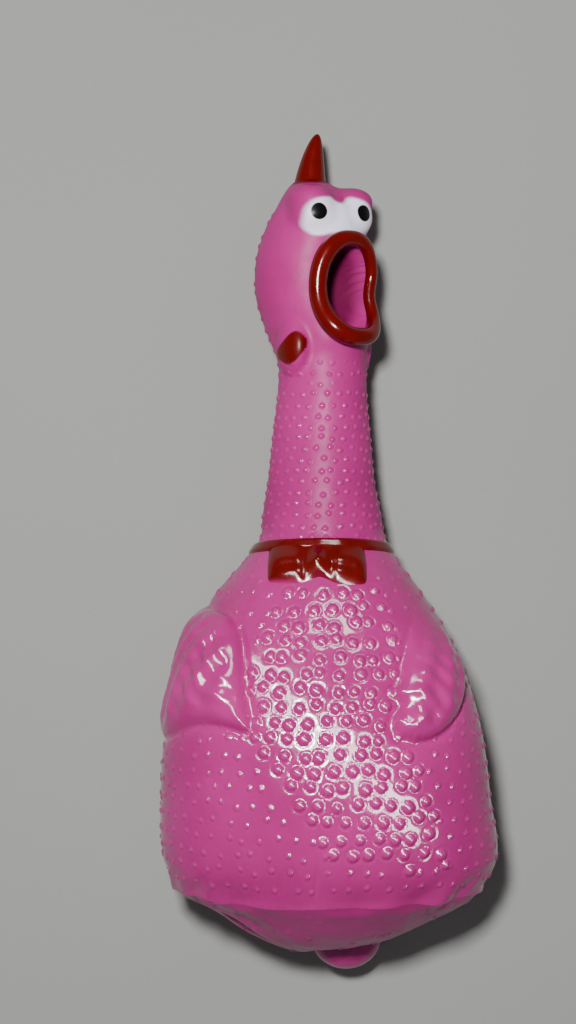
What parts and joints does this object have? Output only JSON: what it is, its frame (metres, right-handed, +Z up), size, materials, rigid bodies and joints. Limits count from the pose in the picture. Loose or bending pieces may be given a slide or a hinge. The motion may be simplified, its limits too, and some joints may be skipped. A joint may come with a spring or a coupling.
{
  "type": "squeeze toy",
  "caption": "Hollow soft chicken figure lying on its back, with a long bendable neck, open mouth, bow tie collar, studded belly that squeezes in, and a reed squeaker in the throat.",
  "frame": {"origin": "under the middle of the whole toy, on the surface it lies on", "axes": "+Z up through the belly as the toy lies on its back, +Y along the neck towards the comb, +X to the side that the face is turned to"},
  "size_m": [0.0894, 0.226, 0.061],
  "materials": {
    "pink_vinyl": "glossy soft vinyl, coloured through",
    "red_paint": "gloss sprayed paint on vinyl",
    "white_paint": "sprayed paint on vinyl",
    "black_paint": "gloss printed paint on vinyl",
    "squeaker_plastic": "moulded",
    "reed_film": "thin film"
  },
  "bodies": {
    "torso": {"torso_shell": "pink_vinyl", "belly_flex_ring": "pink_vinyl", "rump_panel": "pink_vinyl", "tail_nub": "pink_vinyl", "wing_left": "pink_vinyl", "wing_right": "pink_vinyl", "collar_band": "red_paint", "bow_loop_left": "red_paint", "bow_loop_right": "red_paint", "bow_knot": "red_paint", "neck_flex_lower": "pink_vinyl"},
    "belly": {"belly_wall": "pink_vinyl"},
    "neck_lower": {"neck_lower_shell": "pink_vinyl", "neck_flex_middle": "pink_vinyl"},
    "neck_upper": {"neck_upper_shell": "pink_vinyl", "neck_flex_upper": "pink_vinyl", "squeaker_housing": "squeaker_plastic", "squeaker_grille": "squeaker_plastic", "reed_block": "squeaker_plastic", "reed_wedge": "squeaker_plastic"},
    "head": {"head_shell": "pink_vinyl", "comb_spike": "red_paint", "brow_left": "pink_vinyl", "brow_right": "pink_vinyl", "eye_white_left": "white_paint", "eye_white_right": "white_paint", "pupil_left": "black_paint", "pupil_right": "black_paint", "lip_ring": "red_paint", "wattle_left": "pink_vinyl", "wattle_right": "pink_vinyl", "wattle_patch_left": "red_paint", "wattle_patch_right": "red_paint"},
    "reed": {"reed_tongue": "reed_film"}
  },
  "joints": [
    {"name": "belly_squeeze", "type": "slide", "parent": "torso", "child": "belly", "axis": [0, 0, -1], "range_m": [0, 0.012], "stiffness_N_per_m": 300, "deforming": ["belly_flex_ring"]},
    {"name": "neck_bend", "type": "hinge", "parent": "torso", "child": "neck_lower", "pos_m": [-0.00104, 0.00683, 0.0195], "axis": [1, 0, 0], "range_deg": [-20, 25], "stiffness_Nm_per_rad": 0.5, "deforming": ["neck_flex_lower"]},
    {"name": "neck_sway", "type": "hinge", "parent": "neck_lower", "child": "neck_upper", "pos_m": [-0.00104, 0.02683, 0.0195], "axis": [0, 0, 1], "range_deg": [-25, 25], "stiffness_Nm_per_rad": 0.4, "deforming": ["neck_flex_middle"]},
    {"name": "head_turn", "type": "hinge", "parent": "neck_upper", "child": "head", "pos_m": [-0.00104, 0.04533, 0.0195], "axis": [0, 1, 0], "range_deg": [-35, 35], "stiffness_Nm_per_rad": 0.3, "deforming": ["neck_flex_upper"]},
    {"name": "reed_flutter", "type": "hinge", "parent": "neck_upper", "child": "reed", "pos_m": [-0.00104, 0.04513, 0.0202], "axis": [1, 0, 0], "range_deg": [-2, 2], "stiffness_Nm_per_rad": 0.002}
  ]
}
